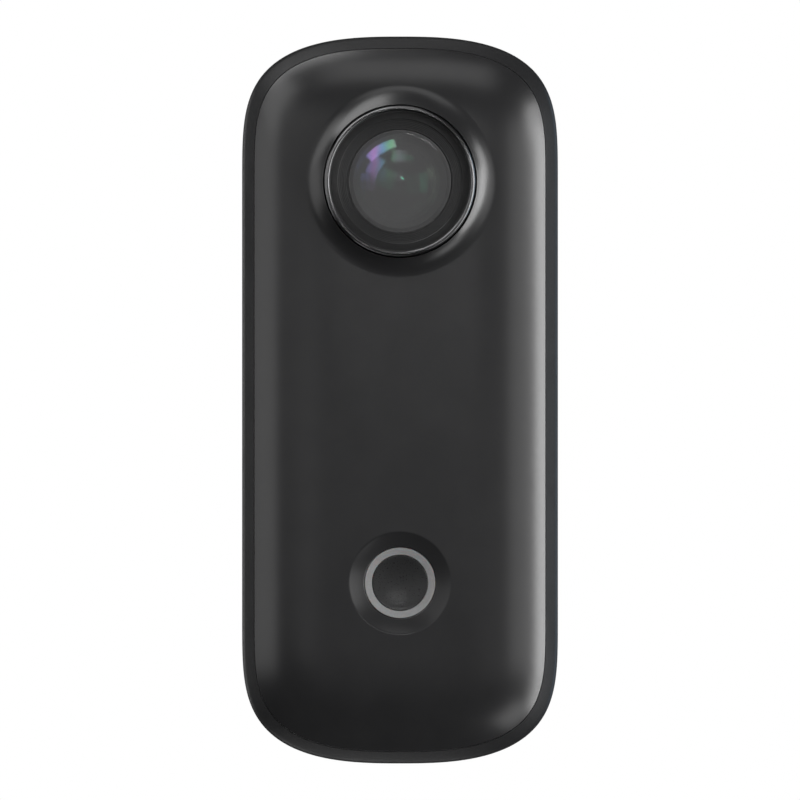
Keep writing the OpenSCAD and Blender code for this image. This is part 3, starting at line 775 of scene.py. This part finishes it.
def front_panel():
    net = Net()
    rim = fillet([
        (SKIRT_INSET, crown_z(SKIRT_INSET) - PANEL_T, 0),
        (SKIRT_INSET, PANEL_LOW, 0.03),
        (PANEL_INSET, PANEL_LOW, 0.03),
        (PANEL_INSET, CROWN_EDGE, 0.03),
        (PANEL_INSET + 0.5, float(crown_z(PANEL_INSET + 0.5)), 0),
    ])[:-1]
    rings = net.sweep([outline(u, z) for u, z in rim])
    edge_inset = rim[-1][0]
    for i, p in zip(rings[-1], outline(edge_inset)):
        net.points[i][2] = float(panel_height(p[0], p[1]))

    # Collar: from its foot in to the lip, then down the bore to the bezel's seat
    flare = np.linspace(LIP_R + FLARE_W, LIP_R, 34)
    collar = [on_panel(r, LENS_STEPS, LENS_Y) for r in [FOOT_R, *flare]]
    lip = [(COLLAR_R + LIP_ARC * (1 - math.sin(a)), LIP_Z + LIP_ARC * (math.cos(a) - math.cos(LIP_TILT)))
           for a in np.linspace(-LIP_TILT, math.pi / 2, 9)[1:]]
    seat = BEZEL_LOW.z
    bore = [(COLLAR_R, LIP_Z - 0.12), (COLLAR_R, seat + 0.05), (COLLAR_R - 0.02, seat),
            (TOWER_BORE_R + 0.02, seat), (TOWER_BORE_R, seat - 0.02), (TOWER_BORE_R, TOWER_LOW)]
    collar += [circle(r, LENS_STEPS, LENS_Y, z) for r, z in lip + bore]
    collar_rings = net.sweep(collar)

    # Finger dish, then down the bore that guides the key
    dish = [on_panel(r, DISH_STEPS, SHUTTER_Y) for r in DISH_RADII]
    edge_z = float(panel_height(GUIDE_R, SHUTTER_Y))
    for r, z in ((GUIDE_R + 0.015, edge_z - 0.006), (GUIDE_R, edge_z - 0.04), (GUIDE_R, GUIDE_LOW)):
        dish.append(circle(r, DISH_STEPS, SHUTTER_Y, z))
    dish_rings = net.sweep(dish)

    # The crowned surface between them
    holes = [(FOOT_R, LENS_Y), (DISH_RADII[0], SHUTTER_Y)]
    insets = [edge_inset + step for step in CROWN_STEPS]
    triangulate(net, [rings[-1], collar_rings[0], dish_rings[0]], holes,
                inner_points(insets, holes, 0.18), panel_height)

    # The inner side, facing down
    before = len(net.faces)
    near = [circle(r, 64, LENS_Y) for r in (7, 8.75, 9.3)]
    near += [circle(r, 64, SHUTTER_Y) for r in (3.6, 4.28, 4.56)]
    wide = inner_points([SKIRT_INSET + step for step in (0.7, 1.6, 2.8, 4.2, 6, 8, 9.8)],
                        [(9.5, LENS_Y), (4.8, SHUTTER_Y)], 0)[::3]
    triangulate(net, [rings[0], collar_rings[-1], dish_rings[-1]],
                [(TOWER_BORE_R, LENS_Y), (GUIDE_R, SHUTTER_Y)], np.concatenate([wide, *near]), panel_ceiling)
    for face in net.faces[before:]:
        face.reverse()

    # Posts that the case screws hold
    tube = ((POST_R, POST_FOOT_Z), (POST_R, POST_TOP_Z),
            (POST_BORE_R, POST_TOP_Z), (POST_BORE_R, POST_FOOT_Z))
    for x, y in POSTS:
        net.sweep([[(x + r * math.cos(a), y + r * math.sin(a), z) for a in full_turn(32)] for r, z in tube],
                  closed=True)

    # Exact normals on the visible surface, so that its reflections are even
    obj = net.object("front_panel", sharp=50)
    points = np.array(net.points)
    flat = np.array([n.vector[:] for n in obj.data.vertex_normals])
    normals = np.stack([flat[:, 0], flat[:, 2], -flat[:, 1]], axis=1)
    surface = panel_height(points[:, 0], points[:, 1])
    reach = np.hypot(points[:, 0], points[:, 1] - LENS_Y)
    key = np.hypot(points[:, 0], points[:, 1] - SHUTTER_Y)
    on_top = (np.abs(points[:, 2] - surface) < 1e-4) & (reach > LIP_R + 0.04) & (key > RING_R + 0.08)
    on_top &= inset_of(points[:, 0], points[:, 1]) > edge_inset - 1e-3
    normals[on_top] = panel_normals(points[on_top])
    turned = np.stack([normals[:, 0], -normals[:, 2], normals[:, 1]], axis=1)
    obj.data.normals_split_custom_set_from_vertices([tuple(n) for n in turned])
    return finished(obj, "camera_body", "panel_gloss", "front_cover", weighted=False)


# ---- Frame ----


# The port block at the bottom end, and the lugs on the side walls that carry the main board
BLOCK_HALF_W, BLOCK_LOW_Y, BLOCK_HIGH_Y = 8, -29.45, -27.5
LUG_X, LUG_YS, LUG_ZS = (8.7, 12.5), (-18.6, 9.2), (6.8, 8)
LUG_HALF_H = 1.3
CARD_SLOT_HALF_W, PIN_HALF_L, PIN_R = 5.9, 7, 0.3
SOUND_R, WINDOW_R = 0.4, 0.62
SPEAKER_PITCH, SPEAKER_HOLES = 1.5, 5


def frame_additions():
    block = box_solid((-BLOCK_HALF_W, BLOCK_LOW_Y, BACK_JOINT + 0.2),
                      (BLOCK_HALF_W, BLOCK_HIGH_Y, FLANGE_LOW + 0.1))
    lugs = []
    for left, right in ((-LUG_X[1], -LUG_X[0]), LUG_X):
        for y in LUG_YS:
            lugs.append(box_solid((left, y - LUG_HALF_H, LUG_ZS[0]), (right, y + LUG_HALF_H, LUG_ZS[1])))
    return [block, *lugs]


def frame_openings():
    """The door's recess, its slots and pin, the side key's hole, and the sound and lamp holes."""
    reach = DOOR_HIGH.x + DOOR_GAP
    out = -HALF_H - 1
    deep = BLOCK_HIGH_Y + 0.5
    found = [
        box_solid((-reach, out, DOOR_LOW.z - DOOR_GAP), (reach, HINGE_Y, DOOR_HIGH.z + DOOR_GAP)),
        box_solid((-reach, out, HINGE_Z), (reach, HINGE_Y + DOOR_GAP, DOOR_HIGH.z + DOOR_GAP)),
        x_rod([(-reach, DOOR_T + DOOR_GAP), (reach, DOOR_T + DOOR_GAP)], HINGE_Y, HINGE_Z, 96),
        box_solid((-CARD_SLOT_HALF_W, out, CARD_LOW.z - 0.1), (CARD_SLOT_HALF_W, deep, CARD_HIGH.z + 0.15)),
        box_solid((USB_LOW.x - 0.2, out, USB_LOW.z), (USB_HIGH.x + 0.2, deep, USB_HIGH.z + 0.05)),
        x_rod([(-PIN_HALF_L, PIN_R), (PIN_HALF_L, PIN_R)], HINGE_Y, HINGE_Z, 32),
        column([stadium(SIDE_R + 0.06, HALF_W - 3), stadium(SIDE_R + 0.06, HALF_W - 0.1),
                stadium(SIDE_R + 0.24, HALF_W + 0.08)]),
        y_rod([(HALF_H - 3, SOUND_R), (HALF_H - 0.2, SOUND_R), (HALF_H + 0.2, SOUND_R + 0.4)],
              (MIC_LOW.x + MIC_HIGH.x) / 2, (MIC_LOW.z + MIC_HIGH.z) / 2),
        x_rod([(HALF_W - 3, WINDOW_R), (HALF_W - 0.08, WINDOW_R), (HALF_W + 0.1, WINDOW_R + 0.18)],
              (WINDOW_LOW.y + WINDOW_HIGH.y) / 2, (WINDOW_LOW.z + WINDOW_HIGH.z) / 2),
    ]
    middle_y, middle_z = (SPEAKER_LOW.y + SPEAKER_HIGH.y) / 2, (SPEAKER_LOW.z + SPEAKER_HIGH.z) / 2
    for k in range(SPEAKER_HOLES):
        y = middle_y + SPEAKER_PITCH * (k - SPEAKER_HOLES // 2)
        stations = [(-HALF_W - 0.1, SOUND_R + 0.16), (-HALF_W + 0.1, SOUND_R), (-HALF_W + 3, SOUND_R)]
        found.append(x_rod(stations, y, middle_z))
    return found


def frame_shell():
    chamfer_foot = FRAME_FRONT - 0.9
    flange_top = FLANGE_LOW + FLANGE_T
    lap_inset = PANEL_INSET - 0.03
    profile = fillet([
        (0.06, BACK_JOINT, 0.03), (0, BACK_JOINT + 0.12, 0.05), (0, chamfer_foot, 0.9),
        (1.0, FRAME_FRONT, 0.05), (lap_inset, FRAME_FRONT, 0), (lap_inset, PANEL_LOW, 0),
        (WALL, flange_top, 0), (SKIRT_INSET, flange_top, 0), (SKIRT_INSET, FLANGE_LOW, 0),
        (WALL, FLANGE_LOW, 0), (WALL, BACK_JOINT, 0),
    ], steps=6)
    net = Net()
    net.sweep([outline(u, z) for u, z in profile], closed=True)
    obj = net.object("frame_shell")
    merged(obj, frame_additions(), "UNION")
    merged(obj, frame_openings(), "DIFFERENCE")
    return finished(obj, "camera_body", "frame_plastic", "mid_frame")


def back_shell():
    lip_top, edge, pad = BACK_HIGH.z, BACK_LOW.z, PAD_HIGH.z
    inner, lip_inset, boss_r = 1.5, 1.9, 1.9
    corner_w, corner_h, corner_steps = 2.4, BACK_JOINT - edge - 0.5, 12
    curve = []
    for k in range(corner_steps + 1):
        a = math.radians(90 * k / corner_steps)
        curve.append((corner_w * (1 - math.sin(a) ** 0.9), edge + corner_h * (1 - math.cos(a) ** 0.9), 0))
    pad_inset, groove_out, groove_in, groove_z = 2.75, 0.45, 0.85, BACK_JOINT - 0.25
    profile = fillet([
        (CAP_INNER_INSET, pad, 0), (CAP_INSET, pad, 0), (pad_inset, pad, 0.03), (pad_inset, edge, 0.08),
        *curve, (0, BACK_JOINT - 0.12, 0.05), (0.06, BACK_JOINT, 0.03), (groove_out, BACK_JOINT, 0),
        (groove_out, groove_z, 0), (groove_in, groove_z, 0), (groove_in, BACK_JOINT, 0),
        (PANEL_INSET, BACK_JOINT, 0), (PANEL_INSET, lip_top, 0.1), (lip_inset, lip_top, 0.1),
        (lip_inset, inner, 0.3), (CAP_INSET, inner, 0), (CAP_INNER_INSET, inner, 0),
    ])
    obj = column([outline(u, z) for u, z in profile], "back_shell")
    clear_w, clear_y = BLOCK_HALF_W + 0.2, BLOCK_HIGH_Y + 0.1
    well_r, well_low, well_high = SCREW_HEAD_R + 0.05, 0.4, 1.6
    hole_r = POST_BORE_R + 0.05
    bosses, cuts = [], [box_solid((-clear_w, -HALF_H, BACK_JOINT), (clear_w, clear_y, lip_top + 1))]
    for x, y in POSTS:
        bosses.append(z_rod([(inner - 0.1, boss_r), (POST_FOOT_Z, boss_r)], x, y, 40))
        cuts.append(z_rod([(well_low, well_r), (well_high, well_r)], x, y, 40))
        cuts.append(z_rod([(well_high - 0.1, hole_r), (POST_FOOT_Z + 0.5, hole_r)], x, y, 32))
    merged(obj, bosses, "UNION")
    merged(obj, cuts, "DIFFERENCE")
    return finished(obj, "camera_body", "cover_plastic", "back_cover")


def pad_skin():
    inset = HALF_W - PAD_HIGH.x
    profile = fillet([
        (CAP_INNER_INSET, 0, 0), (CAP_INSET, 0, 0), (inset, 0, 0.12),
        (inset, PAD_HIGH.z, 0.03), (CAP_INSET, PAD_HIGH.z, 0), (CAP_INNER_INSET, PAD_HIGH.z, 0),
    ])
    obj = column([outline(u, z) for u, z in profile], "pad_skin")
    return finished(obj, "camera_body", "pad_rubber", "magnet_pad")


# ---- Lens and keys ----


def bezel_ring():
    """Turned ring: a bright lip round two grooved decks, its foot inside the collar."""
    low, front = BEZEL_LOW.z, BEZEL_HIGH.z
    foot_r, ledge_r, ledge_z, glass_seat = 5.6, 3.9, 15.75, GLASS_LOW.z - 0.25
    lip_in = BEZEL_R - 0.42
    inner = GLASS_R + 0.02
    outer_deck, inner_deck = front - 0.55, front - 0.62
    corners = [
        (foot_r, low, 0.02), (BEZEL_R, low, 0.05), (BEZEL_R, front, 0.24), (lip_in, front, 0.16),
        (lip_in, outer_deck, 0.05),
    ]
    grooves = 5
    for k in range(grooves):
        r = lip_in - 0.12 - k * 0.1
        corners += [(r, outer_deck, 0), (r - 0.02, outer_deck - 0.015, 0), (r - 0.045, outer_deck, 0)]
    step = inner + 0.92
    corners += [(step, outer_deck, 0.03), (step - 0.07, inner_deck, 0.03)]
    for k in range(grooves):
        r = step - 0.2 - k * 0.13
        corners += [(r, inner_deck, 0), (r - 0.02, inner_deck - 0.012, 0), (r - 0.05, inner_deck, 0)]
    corners += [(inner, inner_deck, 0.03), (inner, glass_seat, 0), (ledge_r, glass_seat, 0),
                (ledge_r, ledge_z, 0), (foot_r, ledge_z, 0)]
    net = Net()
    net.sweep([circle(r, 224, LENS_Y, z) for r, z in fillet(corners, steps=5)], closed=True)
    return finished(net.object("bezel_ring"), "camera_body", "bezel_metal", "lens_bezel")


def glass_window():
    """A round plate with a bevelled edge and a very slightly domed front."""
    radius, low, high, dome, edge = GLASS_R, GLASS_LOW.z, GLASS_HIGH.z, 0.02, 0.08
    net = Net()
    profile = [(radius - 0.02, low), (radius, low + 0.02), (radius, high - dome - edge)]
    profile += [(radius - edge * (1 - math.cos(a)), high - dome - edge + edge * math.sin(a))
                for a in np.linspace(0.4, math.pi / 2, 4)]
    inside = radius - edge
    profile += [(inside * (1 - t), high - dome * (1 - t) ** 2) for t in np.linspace(0.08, 0.94, 12)]
    rings = net.sweep([circle(r, 160, LENS_Y, z) for r, z in profile])
    net.fan(rings[-1], (0, LENS_Y, high))
    net.fan(list(reversed(rings[0])), (0, LENS_Y, low))
    return finished(net.object("glass_window"), "camera_body", "coated_glass", "cover_glass")


def coating_film():
    """The coating on the cover glass, shaded like the strongly curved element it is seen with. Its material
    carries a painted coloured reflection.
    """
    front, ball = GLASS_HIGH.z + 0.01, 5.8
    net = Net()
    radii = np.linspace(GLASS_R - 0.1, 0.1, 28)
    rings = net.sweep([circle(r, 128, LENS_Y, front) for r in radii])
    net.fan(rings[-1], (0, LENS_Y, front))
    obj = net.object("coating_film")
    flat = np.array(net.points)
    tilt = np.stack([flat[:, 0], np.zeros(len(flat)), flat[:, 1] - LENS_Y], axis=1) / ball
    tilt[:, 1] = -np.sqrt(1 - (tilt**2).sum(axis=1))
    obj.data.normals_split_custom_set_from_vertices([tuple(n) for n in tilt])
    return finished(obj, "camera_body", "lens_glass", material=coating_paint(), weighted=False)


def front_dome():
    """The front element, ground to a smooth dome."""
    low, high = local_box("front_element")
    radius, ball = high.x, 6.8
    profile = [(radius - 0.05, low.z), (radius, low.z + 0.05)]
    edge = high.z - ball + math.sqrt(ball**2 - radius**2)
    profile += [(radius, edge - 0.03)]
    profile += [(ball * math.sin(a), high.z - ball + ball * math.cos(a))
                for a in np.linspace(math.asin((radius - 0.02) / ball), 0.01, 40)]
    net = Net()
    rings = net.sweep([circle(r, 160, LENS_Y, z) for r, z in profile])
    net.fan(rings[-1], (0, LENS_Y, high.z))
    net.fan(list(reversed(rings[0])), (0, LENS_Y, low.z))
    return finished(net.object("front_dome"), "camera_body", "lens_glass", "front_element")


def light_ring():
    low, flange_top = RING_LOW.z, RING_LOW.z + 0.4
    inner, outer = CAP_R + 0.012, RING_R
    radii = [outer - (outer - inner) * t for t in np.linspace(0, 1, 7)]
    top = [(r, dish_z(r), 0.03 if r in (radii[0], radii[-1]) else 0) for r in radii]
    corners = [(RING_HIGH.x, low, 0.05), (RING_HIGH.x, flange_top, 0.05), (outer, flange_top, 0.03), *top,
               (inner, low, 0)]
    net = Net()
    net.sweep([circle(r, 160, SHUTTER_Y, z) for r, z in fillet(corners)], closed=True)
    return finished(net.object("light_ring_lens"), "shutter_key", "ring_plastic", "light_ring")


def shutter_cap():
    low, stem_r, side = RING_LOW.z, 1.2, CAP_R - 0.008
    rim = fillet([(stem_r, CAP_LOW.z, 0.1), (stem_r, low, 0.1), (side, low, 0.05),
                  (side, dish_z(CAP_R), 0.05), (CAP_R - 0.3, dish_z(CAP_R - 0.3), 0)])
    rim += [(r, dish_z(r)) for r in np.linspace(CAP_R - 0.5, 0.15, 10)]
    rim[0] = (stem_r - 0.1, CAP_LOW.z)
    net = Net()
    rings = net.sweep([circle(r, 160, SHUTTER_Y, z) for r, z in rim])
    net.fan(rings[-1], (0, SHUTTER_Y, dish_z(0)))
    net.fan(list(reversed(rings[0])), (0, SHUTTER_Y, CAP_LOW.z))
    return finished(net.object("shutter_cap"), "shutter_key", "button_black", "shutter_button")


def side_key():
    """Round-ended key with a slightly pillowed face, a flange inside the wall and a stub to the switch."""
    flange_in, flange_out, face = 11.2, 11.75, SIDE_HIGH.x
    stub_r, stub_z = 0.6, 9.4
    profile = fillet([
        (SIDE_R + KEY_FLANGE, flange_in, 0.05), (SIDE_R + KEY_FLANGE, flange_out, 0.05),
        (SIDE_R, flange_out, 0.03), (SIDE_R, face - 0.06, 0.14), (SIDE_R - 0.5, face - 0.03, 0.4),
        (SIDE_R - 1.1, face, 0), (0.25, face, 0),
    ])
    obj = column([stadium(r, x) for r, x in profile], "side_key")
    merged(obj, [x_rod([(SIDE_LOW.x, stub_r), (flange_in + 0.2, stub_r)], SIDE_MID_Y, stub_z, 32)], "UNION")
    return finished(obj, "side_key", "button_black", "side_button")


# ---- Port door ----


def bottom_y(x, inset=0.05):
    """The body's lower end at a distance from its middle line."""
    share = (1 - (abs(x) / (HALF_W - inset)) ** SIDE_POWER) ** (1 / END_POWER)
    return -(STRAIGHT_Y + (END_DEPTH - inset) * share)


def door_section(x, shrink):
    """The door's outline across the hinge at x, drawn in all round."""
    under, inside = bottom_y(x) + shrink, HINGE_Y - shrink
    front, radius = DOOR_HIGH.z - shrink, DOOR_T - shrink
    outer, inner = 0.12, 0.08
    foot = [(under + outer - outer * math.cos(a), front - outer + outer * math.sin(a))
            for a in np.linspace(0, math.pi / 2, 5)]
    head = [(inside - inner + inner * math.sin(a), front - inner + inner * math.cos(a))
            for a in np.linspace(0, math.pi / 2, 4)]
    start = math.asin((inside - HINGE_Y) / radius)
    end = math.pi + math.asin(min(1, (HINGE_Y - under) / radius))
    knuckle = [(HINGE_Y + radius * math.sin(a), HINGE_Z + radius * math.cos(a))
               for a in np.linspace(start, end, 26)]
    return [(x, y, z) for y, z in foot + head + knuckle]


def port_door():
    half, soft = DOOR_HIGH.x, 0.1
    end = [(-half + soft * (1 - math.cos(a)), soft * (1 - math.sin(a)))
           for a in np.linspace(0, math.pi / 2, 5)]
    middle = [(x, 0.0) for x in np.linspace(-half + 0.4, half - 0.4, 25)]
    stations = end + middle + [(-x, shrink) for x, shrink in reversed(end)]
    obj = column([door_section(x, shrink) for x, shrink in stations], "door_shell")
    core = box_solid((GASKET_LOW.x + 0.42, HINGE_Y - 0.1, GASKET_LOW.z + 0.32),
                     (GASKET_HIGH.x - 0.42, GASKET_HIGH.y + 0.2, GASKET_HIGH.z - 0.32))
    merged(obj, [core], "UNION")
    bore = PIN_R + 0.03
    merged(obj, [x_rod([(-half - 1, bore), (half + 1, bore)], HINGE_Y, HINGE_Z, 40)], "DIFFERENCE")
    return finished(obj, "port_door", "door_rubber", "port_door")


for build in (front_panel, frame_shell, back_shell, pad_skin, bezel_ring, glass_window, front_dome,
              coating_film, light_ring, shutter_cap, side_key, port_door):
    build()

# ---- Materials on the CAD nodes that stay ----

for part in frame["record"]["subparts"]:
    node = frame["nodes"][part["node"]]
    node.data.materials.clear()
    node.data.materials.append(MATERIALS[part["material_slot"]])


# ---- Floor, light and camera ----


def stage_floor():
    """A pale round table top. It lets low lights past and is clear from beneath."""
    radius, top_y = 75, -HALF_H - 11.5
    net = Net()
    net.cap(net.add([(radius * math.sin(a), top_y, BODY_MID_Z + radius * math.cos(a))
                     for a in full_turn(128)]))
    floor = net.object("floor")
    paint = Paint("floor_white")
    paint.set(Base_Color=paint.ramp(paint.noise(40), (0.86, 0.86, 0.86), (0.9, 0.9, 0.9)), Roughness=0.9)
    side = paint.node("ShaderNodeNewGeometry").outputs["Backfacing"]
    clear = paint.node("ShaderNodeBsdfTransparent").outputs[0]
    mixed = paint.node("ShaderNodeMixShader", Fac=side)
    paint.tree.links.new(paint.shader.outputs[0], mixed.inputs[1])
    paint.tree.links.new(clear, mixed.inputs[2])
    paint.tree.links.new(mixed.outputs[0], paint.tree.nodes["Material Output"].inputs["Surface"])
    floor.data.materials.append(paint.mat)
    floor.visible_shadow = floor.visible_glossy = floor.visible_diffuse = False


LIGHT_DISTANCE = 480


def soft_box(name, off_axis, azimuth, size, power, colour=(1, 1, 1)):
    """A soft light facing the body, placed by its angle off the lens axis and its azimuth from in front.

    Its size is given round the axis and then away from it."""
    lamp = bpy.data.lights.new(name, "AREA")
    lamp.shape = "RECTANGLE"
    lamp.size, lamp.size_y = size[0] * MM, size[1] * MM
    lamp.energy = power
    lamp.color = colour
    obj = bpy.data.objects.new(name, lamp)
    tilt, turn = math.radians(off_axis), math.radians(azimuth)
    away = Vector((math.sin(tilt) * math.cos(turn), -math.cos(tilt), math.sin(tilt) * math.sin(turn)))
    along = Vector((-math.sin(turn), 0, math.cos(turn)))
    obj.location = away * LIGHT_DISTANCE * MM
    obj.rotation_mode = "QUATERNION"
    obj.rotation_quaternion = Matrix((along, away.cross(along), away)).transposed().to_quaternion()
    obj.visible_camera = False
    bpy.context.scene.collection.objects.link(obj)


def studio():
    soft_box("key_upper_left", 69, 119, (360, 190), 1.05)
    soft_box("key_soft", 50, 145, (240, 180), 0.3)
    soft_box("key_left", 54, 178, (200, 240), 0.24)
    soft_box("near_left", 22, 158, (220, 240), 0.09)
    soft_box("top_fill", 44, 85, (260, 160), 0.18)
    soft_box("strip_right", 61, 0, (170, 130), 0.85)
    soft_box("strip_up_right", 54, 18, (130, 130), 0.42)
    soft_box("strip_low_right", 61, -24, (190, 130), 0.75)
    soft_box("strip_corner", 50, -50, (150, 120), 0.15)
    soft_box("fill_right", 38, 3, (220, 170), 0.18)
    soft_box("near_right", 20, 0, (220, 170), 0.03)
    soft_box("front_fill", 2, 90, (300, 300), 0.019)
    soft_box("spark", 8.7, 72, (38, 12), 0.06)
    soft_box("rim_right", 112, 0, (420, 180), 0.62, (0.6, 0.8, 1.0))
    soft_box("rim_left", 112, 180, (420, 180), 0.75)
    soft_box("rim_low", 98, 255, (420, 180), 0.7)
    soft_box("rim_top", 92, 90, (300, 150), 0.21)


def world():
    """White behind the camera body, and a dim room that is brighter overhead in reflections."""
    scene = bpy.context.scene
    scene.world = bpy.data.worlds.new("studio")
    scene.world.use_nodes = True
    tree = scene.world.node_tree
    tree.nodes.clear()
    coords = tree.nodes.new("ShaderNodeTexCoord")
    parts = tree.nodes.new("ShaderNodeSeparateXYZ")
    ramp = tree.nodes.new("ShaderNodeMapRange")
    for key, value in (("From Min", -0.3), ("From Max", 0.6), ("To Min", 0.007), ("To Max", 0.07)):
        ramp.inputs[key].default_value = value
    room = tree.nodes.new("ShaderNodeBackground")
    white = tree.nodes.new("ShaderNodeBackground")
    white.inputs["Color"].default_value = (1, 1, 1, 1)
    path = tree.nodes.new("ShaderNodeLightPath")
    mix = tree.nodes.new("ShaderNodeMixShader")
    out = tree.nodes.new("ShaderNodeOutputWorld")
    link = tree.links.new
    link(coords.outputs["Generated"], parts.inputs[0])
    link(parts.outputs["Y"], ramp.inputs["Value"])
    link(ramp.outputs["Result"], room.inputs["Strength"])
    link(path.outputs["Is Camera Ray"], mix.inputs[0])
    link(room.outputs[0], mix.inputs[1])
    link(white.outputs[0], mix.inputs[2])
    link(mix.outputs[0], out.inputs[0])


def camera():
    """Straight on, from far away, so that the view is nearly flat."""
    filled, distance, sensor = 0.909, 900.0, 36
    view_h = 2 * HALF_H / filled
    data = bpy.data.cameras.new("camera")
    data.sensor_width = sensor
    data.lens = sensor * distance / view_h
    data.clip_start, data.clip_end = 0.05, 10
    obj = bpy.data.objects.new("camera", data)
    obj.location = (0, -(distance + FRAME_FRONT - 1) * MM, 0)
    obj.rotation_euler = (math.pi / 2, 0, 0)
    bpy.context.scene.collection.objects.link(obj)
    bpy.context.scene.camera = obj


stage_floor()
studio()
world()
camera()
bpy.context.scene.view_settings.view_transform = "Standard"
